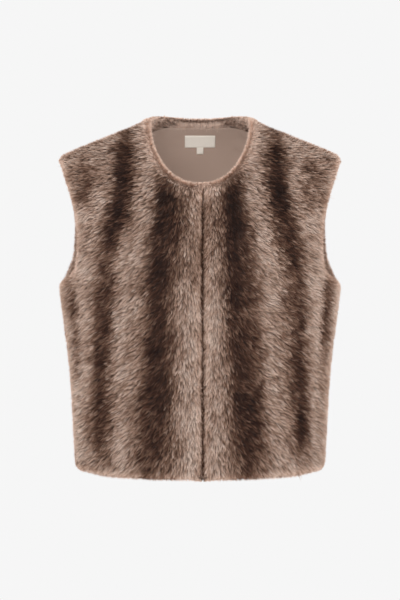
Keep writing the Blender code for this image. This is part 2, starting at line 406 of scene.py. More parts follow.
@dataclass(frozen=True)
class UndercoatFinish:
    """The short wool below the hairs, seen only in the gaps between them."""

    wool_scale: float = 900.0
    wool_height: float = 0.0012
    wool_shade: float = 0.7
    roughness: float = 0.95

    def material(self) -> bpy.types.Material:
        """Builds the material of the undercoat.

        Returns:
            The material.
        """
        material, tree, shader = new_material("fur_undercoat")
        wool = tree.nodes.new("ShaderNodeTexNoise")
        wool.inputs["Scale"].default_value = self.wool_scale
        shaded = tree.nodes.new("ShaderNodeMix")
        shaded.data_type = "RGBA"
        shaded.blend_type = "MULTIPLY"
        shaded.inputs["Factor"].default_value = self.wool_shade
        tree.links.new(coat_colour(tree), shaded.inputs["A"])
        tree.links.new(wool.outputs["Fac"], shaded.inputs["B"])
        tree.links.new(shaded.outputs["Result"], shader.inputs["Base Color"])
        shader.inputs["Roughness"].default_value = self.roughness
        emboss(tree, shader, wool, self.wool_height)
        return material


@dataclass(frozen=True)
class StripeRow:
    """One height of a dark stripe: how far out its middle runs, its half width and its darkness."""

    height: float
    out: float
    half_width: float
    dark: float


INNER_STRIPE = (
    StripeRow(-0.515, 0.073, 0.026, 0.35),
    StripeRow(-0.450, 0.073, 0.027, 0.65),
    StripeRow(-0.330, 0.067, 0.025, 0.62),
    StripeRow(-0.210, 0.062, 0.026, 0.57),
    StripeRow(-0.120, 0.052, 0.020, 0.78),
    StripeRow(-0.085, 0.052, 0.018, 0.75),
    StripeRow(-0.035, 0.058, 0.014, 0.10),
)
OUTER_STRIPE = (
    StripeRow(-0.505, 0.165, 0.020, 0.05),
    StripeRow(-0.455, 0.162, 0.020, 0.60),
    StripeRow(-0.390, 0.157, 0.019, 0.60),
    StripeRow(-0.330, 0.153, 0.016, 0.52),
    StripeRow(-0.180, 0.146, 0.016, 0.52),
    StripeRow(-0.120, 0.131, 0.018, 0.68),
    StripeRow(-0.060, 0.117, 0.016, 0.80),
    StripeRow(-0.010, 0.119, 0.014, 0.70),
    StripeRow(0.020, 0.119, 0.012, 0.30),
)
SHOULDER_STRIPE = (
    StripeRow(-0.110, 0.179, 0.016, 0.00),
    StripeRow(-0.088, 0.179, 0.016, 0.36),
    StripeRow(-0.035, 0.179, 0.016, 0.38),
    StripeRow(-0.010, 0.179, 0.016, 0.00),
)
SIDE_STRIPE = (
    StripeRow(-0.400, 0.218, 0.011, 0.00),
    StripeRow(-0.330, 0.218, 0.011, 0.30),
    StripeRow(-0.240, 0.218, 0.012, 0.45),
    StripeRow(-0.170, 0.218, 0.011, 0.00),
)
MIDDLE_STRIPE = (
    StripeRow(-0.250, 0.000, 0.022, 0.00),
    StripeRow(-0.160, 0.000, 0.022, 0.24),
    StripeRow(-0.085, 0.000, 0.022, 0.20),
    StripeRow(-0.060, 0.000, 0.022, 0.00),
)


@dataclass(frozen=True)
class Coat:
    """The fur's colours: a light ground with soft dark stripes from the shoulders to the hem.

    Tones run from 0, darkest, to 1, lightest. A span is where a change begins and where it ends.
    """

    # The tones' colours, and how much of them a hair has at its root and its tip.
    shades: tuple[Colour, ...] = (
        linear(44, 23, 15),
        linear(94, 61, 46),
        linear(150, 114, 94),
        linear(216, 181, 160),
        linear(250, 223, 206),
    )
    at_root: float = 0.18
    at_tip: float = 1.04

    # The ground, the stripes on it, and the way that the sides lengthen the cloth below the arms.
    ground: float = 0.83
    stripes: tuple[tuple[StripeRow, ...], ...] = (
        INNER_STRIPE,
        OUTER_STRIPE,
        SHOULDER_STRIPE,
        SIDE_STRIPE,
        MIDDLE_STRIPE,
    )
    stripe_depth: float = 1.08
    stripe_edge: float = 2.4
    side_from: float = 0.075
    side_stretch: float = 0.6
    side_below: Span = (-0.235, -0.185)

    # Uneven patches, tufts, wisps and hairs.
    blotch: float = 0.07
    cloud_seed: int = 5
    cloud_waves: int = 14
    cloud_pitch: tuple[float, float, float] = (150.0, 150.0, 70.0)
    tuft_uneven: float = 0.055
    wisp_uneven: float = 0.095
    hair_uneven: float = 0.07

    # Painted highlight along the edges where the pile rolls over, and more of it in a collar round
    # the neck.
    edge_painted_highlight: float = 0.04
    neck_painted_highlight: float = 0.17
    collar_out: Span = (0.085, 0.110)
    collar_height: Span = (-0.092, -0.074)
    collar_back: Span = (-0.01, 0.03)
    collar_back_less: float = 0.7

    # The fur that is turned in at the edges, with painted light that lifts it in the neck hollow.
    facing: float = 0.84
    facing_neck_painted_light: float = 0.11
    facing_neck_height: Span = (-0.06, -0.02)
    facing_stripes: float = 0.35

    # Where the fronts meet: a line of painted shadow in the groove, and how near that line places
    # are.
    parting_x: float = 0.0044
    parting_width: float = 0.0012
    parting_painted_shadow: float = 0.75
    parting_reach: Span = (0.012, 0.024)
    parting_top: Span = (-0.076, -0.064)

    # The short wool below the hairs, and the painted light that pales it near the edges and on the
    # inside.
    wool_darker: float = 0.22
    wool_shade: float = 0.55
    edge_wool_painted_light: float = 0.74

    def out_from_middle(self, points: np.ndarray) -> np.ndarray:
        """How far round from the middle of the front or back places are.

        Args:
            points: places on the fur.

        Returns:
            Metres of cloth, for each place.
        """
        below_arm = 1 - ease(*self.side_below, points[:, 2])
        past = np.maximum(0.0, self.side_from - np.abs(points[:, 1]))
        return np.abs(points[:, 0]) + below_arm * self.side_stretch * past

    def tone(self, points: np.ndarray) -> np.ndarray:
        """How light the fur is on the outside.

        Args:
            points: places on the fur.

        Returns:
            A tone for each place.
        """
        out, height = self.out_from_middle(points), points[:, 2]
        tone = np.full(len(points), self.ground)
        for rows in self.stripes:
            heights = np.array([row.height for row in rows])
            table = np.array([(row.out, row.half_width, row.dark) for row in rows])
            middle, half_width, dark = between(height, heights, table).T
            fall = 0.5 ** (np.abs(out - middle) / half_width) ** self.stripe_edge
            tone -= self.stripe_depth * dark * fall
        return tone + self.blotch * self._clouds(points)

    def inside(self, points: np.ndarray, tones: np.ndarray) -> np.ndarray:
        """How light the turned-in fur is, from the outside's tones there, with painted light at the
        neck.
        """
        light = self.facing + self.facing_neck_painted_light * ease(*self.facing_neck_height, points[:, 2])
        return light + (tones - self.ground) * self.facing_stripes

    def collar(self, points: np.ndarray) -> np.ndarray:
        """How much of the painted highlight round the neck there is, however far the edge is.

        Args:
            points: places on the fur.

        Returns:
            From 0 to 1, for each place.
        """
        at_neck = 1 - ease(*self.collar_out, np.abs(points[:, 0]))
        at_neck *= ease(*self.collar_height, points[:, 2])
        return at_neck * (1 - self.collar_back_less * ease(*self.collar_back, points[:, 1]))

    def painted_parting_shadow(self, points: np.ndarray) -> np.ndarray:
        """How much painted shadow darkens the fur in the groove where the fronts meet."""
        near = np.exp(-(((points[:, 0] - self.parting_x) / self.parting_width) ** 2))
        return self.parting_painted_shadow * near * self.parting(points)

    def parting(self, points: np.ndarray) -> np.ndarray:
        """How near places are to the line where the fronts meet, from 0 to 1."""
        near = 1 - ease(*self.parting_reach, np.abs(points[:, 0] - self.parting_x))
        return near * (points[:, 1] < 0) * (1 - ease(*self.parting_top, points[:, 2]))

    def _clouds(self, points: np.ndarray) -> np.ndarray:
        """Soft uneven patches, longer than they are wide.

        Args:
            points: places on the fur.

        Returns:
            About -1 to 1, for each place.
        """
        draw = np.random.default_rng(self.cloud_seed)
        total = np.zeros(len(points))
        for _ in range(self.cloud_waves):
            wave = draw.normal(0.0, 1.0, 3) * self.cloud_pitch
            total += np.sin(points @ wave + draw.uniform(0.0, 2 * math.pi))
        return total / math.sqrt(self.cloud_waves / 2)

    def colours(self, tones: np.ndarray) -> np.ndarray:
        """The colour of each tone."""
        return between(tones, np.linspace(0.0, 1.0, len(self.shades)), np.array(self.shades))

    def wool(self, points: np.ndarray, pale: np.ndarray) -> np.ndarray:
        """The colour of the short wool below the hairs.

        Args:
            points: places on the undercoat.
            pale: how much painted light pales the wool there, from 0 to 1.

        Returns:
            A colour for each place.
        """
        tones = np.clip(self.tone(points) - self.wool_darker, 0.0, 1.0)
        dark = self.colours(tones) * self.wool_shade
        light = self.colours(np.full(len(points), self.edge_wool_painted_light))
        return dark + (light - dark) * pale[:, None]


@dataclass(frozen=True)
class Nap:
    """The way the hairs lie: down, and away from the middle of the front or back."""

    lean: float = math.radians(50)
    lean_at_middle: float = math.radians(-6)
    lean_between: Span = (0.012, 0.085)
    hem_less: float = 0.3
    hem_between: Span = (-0.40, -0.51)
    level_above: float = -0.02
    half_width: float = 0.21
    half_depth: float = 0.115

    def direction(self, points: np.ndarray) -> np.ndarray:
        """The direction of the nap on the outside of the fur.

        Args:
            points: places on the fur.

        Returns:
            A unit direction for each place, not yet laid on the surface.
        """
        side, facing = np.sign(points[:, 0]), np.sign(points[:, 1])
        out, deep = np.abs(points[:, 0]), np.abs(points[:, 1])
        turn = np.arctan2(out / self.half_width, deep / self.half_depth)
        level = np.zeros_like(points)
        level[:, 0] = side * self.half_width * np.cos(turn)
        level[:, 1] = -facing * self.half_depth * np.sin(turn)
        level = unit(level)
        on_shoulder = points[:, 2] > self.level_above
        level[on_shoulder] = 0.0
        level[on_shoulder, 0] = side[on_shoulder]
        spread = (self.lean - self.lean_at_middle) * ease(*self.lean_between, out)
        lean = self.lean_at_middle + spread
        lean = lean * (1 - self.hem_less * ease(*self.hem_between, points[:, 2]))
        return level * np.sin(lean)[:, None] + np.cos(lean)[:, None] * (0.0, 0.0, -1.0)


@dataclass(frozen=True)
class PileCut:
    """The sizes of the pile, in metres, and how the hairs gather into wisps and tufts.

    A share is of the wall's thickness, and a span is where a change begins and where it ends.
    """

    # How deep the roots are in the wall.
    wall: float = 0.012
    root_share: float = 0.45
    facing_share: float = 0.24
    rim_share: float = 0.26
    meeting_share: float = 0.03
    root_below: float = 0.0004

    # The hairs: how far each lies along and rises from the wall, and how it differs from the next.
    lay: float = 0.0090
    facing_lay: float = 0.0100
    facing_rise: float = 0.0016
    grown: Span = (0.7, 1.15)
    risen: Span = (0.75, 1.10)
    fuzz: float = 0.0010
    hair_width: float = 0.00074
    width_spread: Span = (0.7, 1.25)
    hair_turn: float = math.radians(8)
    hair_roll: float = math.radians(40)
    hair_stray: float = 0.002
    seen_at: float = 0.6
    soft_normal: float = 0.6

    # Wisps of a few hairs, and tufts of many.
    wisp: int = 6
    wisp_pull: float = 0.50
    pull_spread: Span = (0.5, 1.3)
    wisp_turn: float = math.radians(9)
    wisp_stray: float = 0.003
    tuft: int = 45
    tuft_turn: float = math.radians(8)

    # Along the free edges, where the pile stands up and rolls over.
    edge_from: float = 0.001
    edge_reach: float = 0.014
    edge_thick: float = 4.5
    edge_stand: float = 0.80
    edge_over: float = 0.8
    edge_over_power: int = 4
    edge_turn: float = math.radians(34)
    edge_turn_spread: float = 0.7
    edge_loose: float = 0.3
    edge_tufts: float = 0.40
    edge_fuzz: float = 0.0013
    # Painted light on the roots near the edges, where they sit in shade.
    edge_root_painted_light: float = 0.58
    edge_crisp: float = 0.35
    # How far from the edge the painted light on the wool begins to fade.
    wool_painted_light_from: float = 0.004
    rim_steps: tuple[float, ...] = (0.0, 0.25, 0.5, 0.75)
    overshoot: float = 0.0028
    trims: tuple[float, ...] = (1.0, 0.85, 0.7, 0.55, 0.42, 0.3)

    # Where the fronts meet, and hairs cross from one to the other.
    crossing: float = 0.0014
    crossing_facing: float = 0.6

    # Round the neck.
    collar_from: float = 0.002
    collar_reach: float = 0.020
    neck_rise: float = 0.0018
    neck_rise_between: Span = (0.036, 0.050)
    neck_half_width: float = 0.09
    neck_top: float = 0.0578

    # Where the fur is turned in, down to the lining.
    facing_reach: float = 0.034
    facing_thick: float = 1.8
    # Painted light on the roots of the turned-in hairs, which sit in shade.
    facing_root_painted_light: float = 0.45
    neck_thick: float = 4.0
    neck_below: float = -0.09
    droop_between: Span = (0.003, 0.010)
    round_reach: float = 0.0205
    lining_cover: float = 0.0009


@dataclass
class Hairs:
    """Hairs as arrays, with a row for each hair.

    Attributes:
        roots: where it starts.
        tips: where it ends.
        across: the step from the middle of its root to the side.
        facing: the way it faces in the light.
        tones: how light it is, from 0 to 1.
        pale: how pale its root is, from 0, dark, to 1, like the tip; painted light pales it on the
            inside and along the edges.
    """

    # Where the map holds the hairs: the start and the stretch of each way, and a blade's width.
    MAP_TONES = (0.04, 0.92)
    MAP_LENGTHS = (0.1, 0.8)
    MAP_HALF_WIDTH = 0.0015

    roots: np.ndarray
    tips: np.ndarray
    across: np.ndarray
    facing: np.ndarray
    tones: np.ndarray
    pale: np.ndarray

    def where(self, wanted: np.ndarray) -> "Hairs":
        """Some of the hairs."""
        rows = (self.roots, self.tips, self.across, self.facing, self.tones, self.pale)
        return Hairs(*(row[wanted] for row in rows))

    def mesh(self, name: str, coat: Coat) -> bpy.types.Mesh:
        """Builds the hairs as thin blades that end in a point.

        Args:
            name: the mesh's name.
            coat: the fur's colours.

        Returns:
            One mesh of all the hairs, with its colours and its map.
        """
        rows = (self.roots - self.across, self.roots + self.across, self.tips)
        points = np.stack(rows, axis=1).reshape(-1, 3)
        mesh = mesh_of(name, points, np.arange(len(points)).reshape(-1, 3))
        shade = coat.at_root + (coat.at_tip - coat.at_root) * self._along()
        colours = coat.colours(self.tones)[:, None, :] * shade[..., None]
        paint(mesh, np.clip(colours, 0.0, 1.0).reshape(-1, 3))
        self._map(mesh)
        mesh.normals_split_custom_set_from_vertices(np.repeat(self.facing, 3, axis=0))
        return mesh

    def _along(self) -> np.ndarray:
        """How far along from a dark root to the tip each corner of the blades counts."""
        return np.stack((self.pale, self.pale, np.ones_like(self.pale)), axis=1)

    def _map(self, mesh: bpy.types.Mesh) -> None:
        """Lays each blade on the map by its tone and along its length, where like colours meet.

        Args:
            mesh: the hairs' mesh.
        """
        places = np.empty((len(self.tones), 3, 2), dtype=np.float32)
        start, spread = self.MAP_TONES
        corners = np.array((-1.0, 1.0, 0.0)) * self.MAP_HALF_WIDTH
        places[..., 0] = start + spread * self.tones[:, None] + corners
        start, spread = self.MAP_LENGTHS
        places[..., 1] = start + spread * self._along()
        layer = mesh.uv_layers.new(name=BAKE_MAP)
        layer.data.foreach_set("uv", places.ravel())


@dataclass
class Bed:
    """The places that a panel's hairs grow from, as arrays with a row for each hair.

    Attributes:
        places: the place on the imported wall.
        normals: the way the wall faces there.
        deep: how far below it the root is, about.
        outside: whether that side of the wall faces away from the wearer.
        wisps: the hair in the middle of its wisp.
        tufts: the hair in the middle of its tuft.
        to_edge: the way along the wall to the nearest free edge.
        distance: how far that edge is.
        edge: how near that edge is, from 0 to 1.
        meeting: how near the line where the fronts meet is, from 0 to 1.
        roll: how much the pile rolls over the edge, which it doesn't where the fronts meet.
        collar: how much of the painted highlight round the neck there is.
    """

    places: np.ndarray
    normals: np.ndarray
    deep: np.ndarray
    outside: np.ndarray
    wisps: np.ndarray
    tufts: np.ndarray
    to_edge: np.ndarray
    distance: np.ndarray
    edge: np.ndarray
    meeting: np.ndarray
    roll: np.ndarray
    collar: np.ndarray


@dataclass
class FurPanel:
    """A fur panel: an undercoat in place of its packed wall, and the hairs that grow from it."""

    node: str
    pile_names: tuple[str, ...]
    flat: Span
    area: float
    hair_count: int
    seed: int
    cut: PileCut = PileCut()
    coat: Coat = Coat()
    nap: Nap = Nap()

    def build(
        self,
        node: bpy.types.Object,
        linings: list[NodeSurface],
        pile: bpy.types.Material,
        wool: bpy.types.Material,
    ) -> None:
        """Makes the panel's pieces.

        Args:
            node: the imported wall.
            linings: the surfaces of the linings, below which no fur grows.
            pile: the hairs' material.
            wool: the undercoat's material.
        """
        surface = NodeSurface(node)
        depths = self._depths(surface)
        undercoat = self._undercoat(surface, depths, wool)
        hairs = self._grow(surface, depths, linings)
        pieces = self._comb(hairs, pile)
        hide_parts(self.node)

    def _depths(self, surface: NodeSurface) -> np.ndarray:
        """How deep in the wall the undercoat is.

        Args:
            surface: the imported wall's surface.

        Returns:
            A depth for each vertex.
        """
        cut = self.cut
        wall = surface.thickness(cut.wall)
        outside = surface.faces_out(surface.points, surface.normals)
        depths = wall * np.where(outside, cut.root_share, cut.facing_share)
        rim = np.unique(surface.free_edges())
        meeting = self.coat.parting(surface.points[rim])
        depths[rim] = wall[rim] * (cut.rim_share + (cut.meeting_share - cut.rim_share) * meeting)
        return depths

    def _undercoat(
        self, surface: NodeSurface, depths: np.ndarray, wool: bpy.types.Material
    ) -> bpy.types.Object:
        """The short wool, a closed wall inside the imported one.

        Args:
            surface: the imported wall's surface.
            depths: how deep the undercoat is at each vertex.
            wool: its material.

        Returns:
            The undercoat.
        """
        points = surface.points - surface.normals * depths[:, None]
        mesh = mesh_of(f"undercoat_{self.node}", points, surface.faces)
        _, distances = self._towards_edge(surface.points, surface.normals, surface)
        # Painted light: the wool is paled near the edges and on the inside, but not where the
        # fronts meet.
        pale = 1 - ease(self.cut.wool_painted_light_from, self.cut.edge_reach, distances)
        pale *= 1 - self.coat.parting(surface.points)
        pale[~surface.faces_out(surface.points, surface.normals)] = 1.0
        paint(mesh, self.coat.wool(points, pale))
        return add_piece(mesh, wool)

    def _grow(self, surface: NodeSurface, depths: np.ndarray, linings: list[NodeSurface]) -> Hairs:
        """Grows the hairs over all of the fur that shows, bent over, gathered and coloured.

        Args:
            surface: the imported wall's surface.
            depths: how deep the roots are at each vertex.
            linings: the surfaces that cover the inside of the fur.

        Returns:
            The hairs.
        """
        cut, draw = self.cut, np.random.default_rng(self.seed)
        bed = self._bed(surface, depths, draw)
        roots, tips = self._ends(surface, bed, self._laid(bed, draw), draw)
        along = unit(tips - roots)
        across = self._across(bed, along, draw)
        tones = self._tones(bed, roots, tips, draw)
        # Painted light: the roots of the turned-in hairs, and of those along the edges and round
        # the neck, are paled where they would sit dark in shade.
        pale = np.where(bed.outside, 0.0, cut.facing_root_painted_light)
        pale = np.maximum(cut.edge_root_painted_light * np.maximum(bed.roll, bed.collar), pale)
        hairs = Hairs(roots, tips, across, self._facing(bed, along, across), tones, pale)
        return hairs.where(~self._covered(bed, linings))

    def _bed(self, surface: NodeSurface, depths: np.ndarray, draw: np.random.Generator) -> Bed:
        """Chooses where the hairs grow.

        Args:
            surface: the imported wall's surface.
            depths: how deep the roots are at each vertex.
            draw: the random numbers.

        Returns:
            The places, and what is known of each.
        """
        cut = self.cut
        corners = surface.faces[self._scatter(self._density(surface), draw)]
        shares = self._shares(draw)
        places = (surface.points[corners] * shares).sum(axis=1)
        normals = unit((surface.normals[corners] * shares).sum(axis=1))
        to_edge, distance = self._towards_edge(places, normals, surface)
        edge = fade(distance - cut.edge_from, cut.edge_reach)
        meeting = self.coat.parting(places)
        return Bed(
            places=places,
            normals=normals,
            deep=(depths[corners] * shares[..., 0]).sum(axis=1),
            outside=surface.faces_out(places, normals),
            wisps=self._gather(places, cut.wisp, draw),
            tufts=self._gather(places, cut.tuft, draw),
            to_edge=to_edge,
            distance=distance,
            edge=edge,
            meeting=meeting,
            roll=edge * (1 - meeting),
            collar=self.coat.collar(places) * fade(distance - cut.collar_from, cut.collar_reach),
        )

    def _laid(self, bed: Bed, draw: np.random.Generator) -> np.ndarray:
        """The way each hair lies along the wall.

        Args:
            bed: where the hairs grow.
            draw: the random numbers.

        Returns:
            A unit direction for each hair.
        """
        cut, count = self.cut, self.hair_count
        wanted = self.nap.direction(bed.places)
        wanted = np.where(bed.outside[:, None], wanted, -wanted)
        wanted += outwards(bed.places) * bed.roll[:, None]
        over = cut.edge_over * bed.roll**cut.edge_over_power * bed.outside
        wanted += bed.to_edge * over[:, None]
        droop = ease(*cut.droop_between, bed.distance) * ~bed.outside
        wanted -= (wanted + bed.to_edge) * droop[:, None]
        laid = unit(wanted - bed.normals * dots(wanted, bed.normals))
        turns = draw.normal(0.0, cut.wisp_turn, count)[bed.wisps]
        turns += draw.normal(0.0, cut.tuft_turn, count)[bed.tufts]
        turns += draw.normal(0.0, cut.hair_turn, count)
        loose = draw.normal(0.0, cut.edge_turn_spread, count)[bed.wisps]
        loose += draw.normal(0.0, cut.edge_turn_spread, count)
        turns += bed.roll * cut.edge_turn * loose
        turns = turns[:, None]
        return laid * np.cos(turns) + np.cross(bed.normals, laid) * np.sin(turns)

    def _ends(
        self, surface: NodeSurface, bed: Bed, laid: np.ndarray, draw: np.random.Generator
    ) -> tuple[np.ndarray, np.ndarray]:
        """Where each hair starts and ends.

        Args:
            surface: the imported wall's surface.
            bed: where the hairs grow.
            laid: the way they lie along the wall.
            draw: the random numbers.

        Returns:
            A root and a tip for each hair.
        """
        cut, count, roll = self.cut, self.hair_count, bed.roll
        grown = draw.uniform(*cut.grown, count)
        lay = np.where(bed.outside, cut.lay, cut.facing_lay) * grown * (1 - cut.edge_stand * roll)
        fuzz = draw.exponential(1.0, count) * (cut.fuzz + cut.edge_fuzz * roll)
        rise = bed.deep * draw.uniform(*cut.risen, count) + fuzz
        rise += np.where(bed.outside, 0.0, cut.facing_rise)
        rise *= 1 + cut.edge_tufts * roll * draw.normal(0.0, 1.0, count)[bed.wisps]
        at_neck = cut.neck_rise * ease(*cut.neck_rise_between, bed.places[:, 2]) * bed.edge
        rise += at_neck * (np.abs(bed.places[:, 0]) < cut.neck_half_width)
        sideways = np.abs(bed.normals[:, 0]) > cut.crossing_facing
        rise += cut.crossing * bed.meeting * sideways * draw.random(count)
        roots = bed.places - bed.normals * (bed.deep + cut.root_below)[:, None]
        tips = roots + laid * lay[:, None] + bed.normals * rise[:, None]
        pull = cut.wisp_pull * (1 - cut.edge_loose * roll) * draw.uniform(*cut.pull_spread, count)
        tips += (tips[bed.wisps] - tips) * pull[:, None]
        return roots, roots + (tips - roots) * self._kept(surface, roots, tips, bed.edge)

    def _across(self, bed: Bed, along: np.ndarray, draw: np.random.Generator) -> np.ndarray:
        """Half the width of each hair at its root, and the way it is turned.

        Args:
            bed: where the hairs grow.
            along: the way they run.
            draw: the random numbers.

        Returns:
            A step from the middle of the root to its side, for each hair.
        """
        cut, column = self.cut, (self.hair_count, 1)
        level = unit(np.cross(along, bed.normals))
        twist = draw.normal(0.0, cut.hair_roll, column)
        width = cut.hair_width / 2 * draw.uniform(*cut.width_spread, column)
        return (level * np.cos(twist) + np.cross(level, along) * np.sin(twist)) * width

    def _tones(
        self, bed: Bed, roots: np.ndarray, tips: np.ndarray, draw: np.random.Generator
    ) -> np.ndarray:
        """How light each hair is, by the place where it is mostly seen.

        Args:
            bed: where the hairs grow.
            roots: where they start.
            tips: where they end.
            draw: the random numbers.

        Returns:
            A tone for each hair.
        """
        cut, coat, count = self.cut, self.coat, self.hair_count
        stray = draw.normal(0.0, cut.wisp_stray, (count, 3))[bed.wisps]
        stray += draw.normal(0.0, cut.hair_stray, (count, 3))
        tones = coat.tone(roots + (tips - roots) * cut.seen_at + stray)
        # The turned-in fur, with painted light in the neck hollow.
        tones = np.where(bed.outside, tones, coat.inside(bed.places, tones))
        # Painted highlight along the rolled edges and round the neck.
        tones += coat.edge_painted_highlight * bed.roll
        tones += coat.neck_painted_highlight * bed.collar
        # Painted shadow in the groove where the fronts meet.
        tones -= coat.painted_parting_shadow(bed.places)
        tones += draw.normal(0.0, coat.tuft_uneven, count)[bed.tufts]
        uneven = draw.normal(0.0, coat.wisp_uneven, count)[bed.wisps]
        uneven += draw.normal(0.0, coat.hair_uneven, count)
        return np.clip(tones + uneven, 0.0, 1.0)

    def _facing(self, bed: Bed, along: np.ndarray, across: np.ndarray) -> np.ndarray:
        """The way each hair faces in the light, softened towards the fur as a whole.

        Args:
            bed: where the hairs grow.
            along: the way they run.
            across: the way they are turned.

        Returns:
            A unit direction for each hair.
        """
        facing = unit(np.cross(across, along))
        facing *= np.sign(dots(facing, bed.normals))
        rounded = np.where(bed.outside, 0.0, fade(bed.distance, self.cut.round_reach))
        soft = unit(bed.normals + bed.to_edge * rounded[:, None])
        share = self.cut.soft_normal * (1 - self.cut.edge_crisp * bed.roll)
        return unit(facing + (soft - facing) * share[:, None])

    def _density(self, surface: NodeSurface) -> np.ndarray:
        """How many hairs each face has: none in a seam, and more along the edges.

        Args:
            surface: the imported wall's surface.

        Returns:
            A weight for each face.
        """
        cut = self.cut
        _, distances = self._towards_edge(surface.centres, surface.face_normals, surface)
        thick = 1 + (cut.edge_thick - 1) * fade(distances, cut.edge_reach)
        inside = ~surface.faces_out(surface.centres, surface.face_normals)
        at_neck = surface.centres[:, 2] > cut.neck_below
        lined = np.where(at_neck, cut.neck_thick, cut.facing_thick)
        thick[inside] = np.where(distances[inside] < cut.facing_reach, lined[inside], 0.0)
        return surface.areas * thick * ~surface.seam_walls

    def _covered(self, bed: Bed, linings: list[NodeSurface]) -> np.ndarray:
        """Which hairs are below a lining.

        Args:
            bed: where the hairs grow.
            linings: the surfaces that cover the inside of the fur.

        Returns:
            Yes or no for each hair.
        """
        covered = np.zeros(len(bed.places), dtype=bool)
        for k in np.flatnonzero(~bed.outside):
            place = Vector(bed.places[k])
            covered[k] = any(
                lining.tree.find_nearest(place, self.cut.lining_cover)[0] for lining in linings
            )
        return covered

    def _scatter(self, weights: np.ndarray, draw: np.random.Generator) -> np.ndarray:
        """Spreads the hairs evenly over the faces.

        Args:
            weights: how many hairs each face has, beside the others.
            draw: the random numbers.

        Returns:
            The face that each hair grows on.
        """
        ends = np.cumsum(weights)
        steps = (np.arange(self.hair_count) + draw.random(self.hair_count)) / self.hair_count
        return np.minimum(np.searchsorted(ends, steps * ends[-1]), len(weights) - 1)

    def _shares(self, draw: np.random.Generator) -> np.ndarray:
        """Even random places in triangles.

        Args:
            draw: the random numbers.

        Returns:
            The shares of a triangle's three corners, for each hair.
        """
        u, v = draw.random(self.hair_count), draw.random(self.hair_count)
        over = u + v > 1
        u, v = np.where(over, 1 - u, u), np.where(over, 1 - v, v)
        return np.stack((1 - u - v, u, v), axis=1)[..., None]

    @staticmethod
    def _gather(places: np.ndarray, size: int, draw: np.random.Generator) -> np.ndarray:
        """Gathers neighbouring hairs.

        Args:
            places: where the hairs are.
            size: how many are gathered, about.
            draw: the random numbers.

        Returns:
            For each hair, the hair in the middle of its group.
        """
        leaders = draw.permutation(len(places))[: len(places) // size]
        return leaders[nearest(places, places[leaders])]

    def _towards_edge(
        self, places: np.ndarray, normals: np.ndarray, surface: NodeSurface
    ) -> tuple[np.ndarray, np.ndarray]:
        """The way along the fur to the nearest free edge, and how near it is.

        Args:
            places: where the hairs are.
            normals: the way the fur faces there.
            surface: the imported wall's surface.

        Returns:
            A direction and a distance for each hair.
        """
        pairs = surface.free_edges()
        starts, ends = surface.points[pairs[:, 0]], surface.points[pairs[:, 1]]
        rim = np.concatenate([starts + (ends - starts) * step for step in self.cut.rim_steps])
        ways = rim[nearest(places, rim)] - places
        ways -= normals * dots(ways, normals)
        return unit(ways), np.linalg.norm(ways, axis=1)

    def _kept(
        self, surface: NodeSurface, roots: np.ndarray, tips: np.ndarray, edge: np.ndarray
    ) -> np.ndarray:
        """How much of each hair is kept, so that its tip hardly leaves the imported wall.

        Args:
            surface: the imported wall's surface.
            roots: where the hairs start.
            tips: where they would end.
            edge: how near an edge they are.

        Returns:
            A share of its length for each hair.
        """
        kept = np.ones((len(tips), 1))
        for k in np.flatnonzero((edge > 0.0) | (tips[:, 2] > self.cut.neck_top)):
            for share in self.cut.trims:
                end = Vector(roots[k] + (tips[k] - roots[k]) * share)
                near, normal, _, distance = surface.tree.find_nearest(end)
                inside = (end - near).dot(normal) < 0 or distance < self.cut.overshoot
                if inside and end.z < self.cut.neck_top:
                    break
            kept[k] = share
        return kept

    def _comb(self, hairs: Hairs, pile: bpy.types.Material) -> list[bpy.types.Object]:
        """Makes the hairs' pieces: one, or one for each side of the body.

        Args:
            hairs: the panel's hairs.
            pile: their material.

        Returns:
            The pieces.
        """
        left = hairs.roots[:, 0] >= 0
        parts = (left | ~left,) if len(self.pile_names) == 1 else (left, ~left)
        return [
            add_piece(hairs.where(part).mesh(name, self.coat), pile)
            for name, part in zip(self.pile_names, parts)
        ]


@dataclass(frozen=True)
class SatinFinish:
    """Smooth lining cloth with a faint weave and a soft shine."""

    colour: Colour = (0.46, 0.335, 0.27)
    thread_scale: float = 900.0
    thread_waver: float = 2.5
    thread_detail: float = 1.0
    thread_height: float = 0.00005
    roughness: float = 0.48
    specular: float = 0.35
    sheen: float = 0.25

    def material(self) -> bpy.types.Material:
        """Builds the lining's material.

        Returns:
            The material.
        """
        material, tree, shader = new_material("lining_satin")
        threads = tree.nodes.new("ShaderNodeTexWave")
        threads.bands_direction = "Z"
        threads.inputs["Scale"].default_value = self.thread_scale
        threads.inputs["Distortion"].default_value = self.thread_waver
        threads.inputs["Detail"].default_value = self.thread_detail
        shader.inputs["Base Color"].default_value = (*self.colour, 1)
        shader.inputs["Roughness"].default_value = self.roughness
        shader.inputs["Specular IOR Level"].default_value = self.specular
        shader.inputs["Sheen Weight"].default_value = self.sheen
        emboss(tree, shader, threads, self.thread_height)
        return material


@dataclass(frozen=True)
class WovenFinish:
    """Plain woven tape or thread, in one colour."""

    name: str
    colour: Colour
    weave_scale: float = 1500.0
    weave_height: float = 0.0001
    roughness: float = 0.8

    def material(self) -> bpy.types.Material:
        """Builds the material of a woven tape or a thread.

        Returns:
            The material.
        """
        material, tree, shader = new_material(self.name)
        weave = tree.nodes.new("ShaderNodeTexChecker")
        weave.inputs["Scale"].default_value = self.weave_scale
        shader.inputs["Base Color"].default_value = (*self.colour, 1)
        shader.inputs["Roughness"].default_value = self.roughness
        emboss(tree, shader, weave, self.weave_height)
        return material


